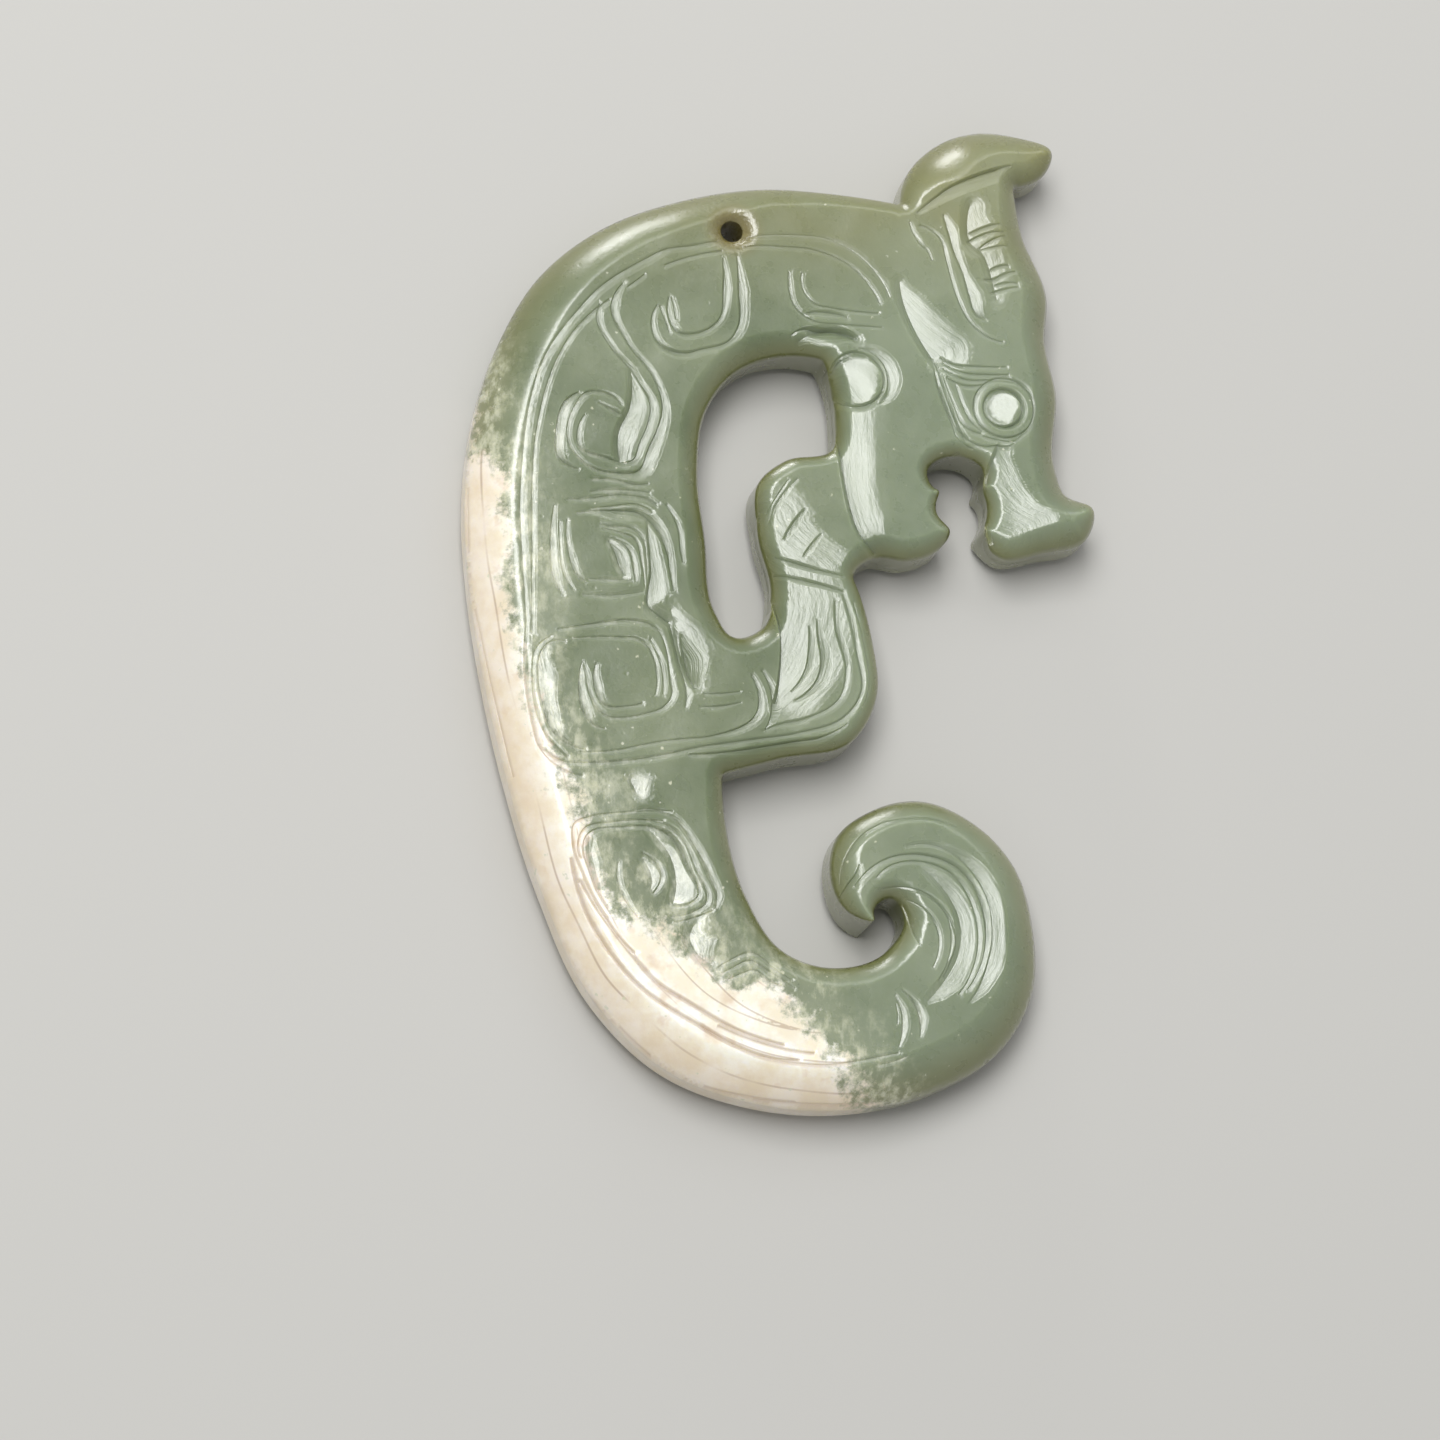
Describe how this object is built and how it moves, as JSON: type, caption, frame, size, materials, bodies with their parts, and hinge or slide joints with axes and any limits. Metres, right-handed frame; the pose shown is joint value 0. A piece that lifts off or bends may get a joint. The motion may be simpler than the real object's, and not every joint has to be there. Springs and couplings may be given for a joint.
{
  "type": "jade dragon pendant",
  "caption": "Flat carved stone pendant in the shape of a dragon curled into an open loop, with incised scrolls and a drilled hole for a cord.",
  "frame": {"origin": "centre of the bounding box at the flat back, which lies on the floor", "axes": "+Z out of the carved face, +Y from the bottom of the body to the crest of the horn, +X towards the dragon's snout"},
  "size_m": [0.0478, 0.077, 0.0055],
  "materials": {
    "jade": "polished celadon jade with a cream weathered zone"
  },
  "bodies": {
    "root": {"jade_dragon": "jade"}
  },
  "joints": []
}
